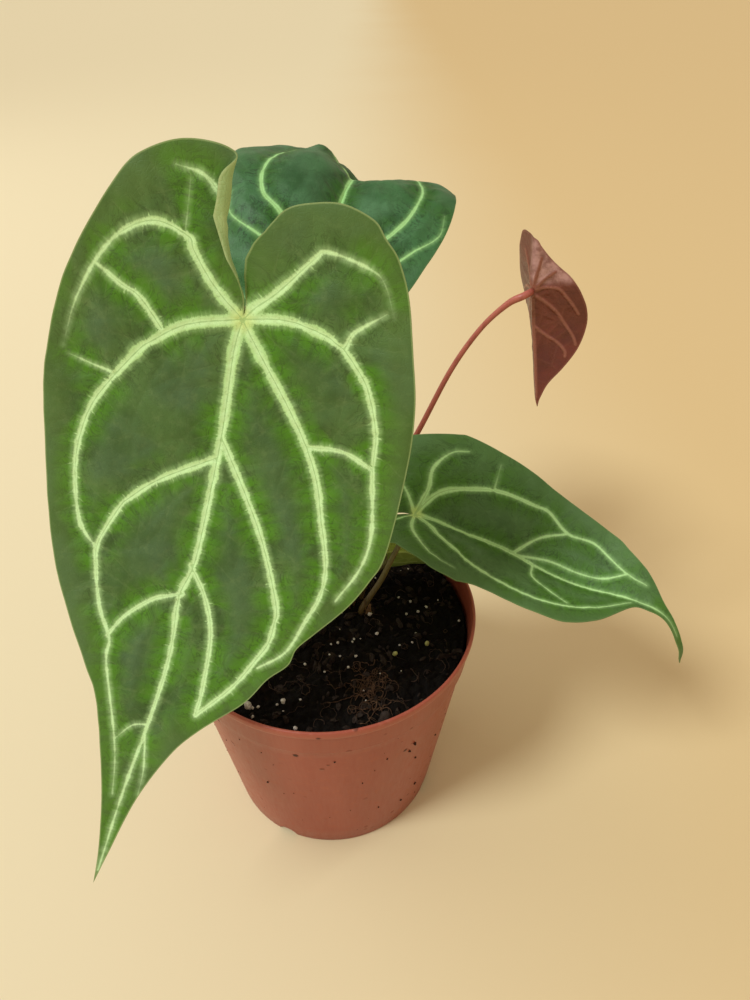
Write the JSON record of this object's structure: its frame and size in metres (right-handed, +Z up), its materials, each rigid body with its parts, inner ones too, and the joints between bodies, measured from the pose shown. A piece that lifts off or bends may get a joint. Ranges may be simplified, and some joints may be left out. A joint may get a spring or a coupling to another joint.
{
  "type": "potted plant",
  "caption": "Velvet-leaf anthurium with broad veined leaves on thin stalks, growing in a terracotta-coloured plastic nursery pot.",
  "frame": {"origin": "under the middle of the plant's box, on the surface that the pot stands on; the pot's axis is at x = -0.0255 m, y = -0.0365 m", "axes": "+Z up, parallel to the pot's axis; -Y towards the side that the large front leaf hangs over; +X to the right seen from there"},
  "size_m": [0.2148, 0.262, 0.2749],
  "materials": {
    "pot": "satin",
    "soil": "matte",
    "crown": "matte",
    "front_blade": "velvet",
    "right_blade": "velvet",
    "back_blade": "velvet",
    "new_blade": "satin",
    "low_blade": "velvet",
    "front_stalk": "satin",
    "right_stalk": "satin",
    "back_stalk": "satin",
    "new_stalk": "satin",
    "low_stalk": "satin"
  },
  "bodies": {
    "root": {"pot": "pot", "soil": "soil", "crown": "crown", "front_blade": "front_blade", "right_blade": "right_blade", "back_blade": "back_blade", "new_blade": "new_blade", "low_blade": "low_blade", "front_stalk": "front_stalk", "right_stalk": "right_stalk", "back_stalk": "back_stalk", "new_stalk": "new_stalk", "low_stalk": "low_stalk"}
  },
  "joints": []
}
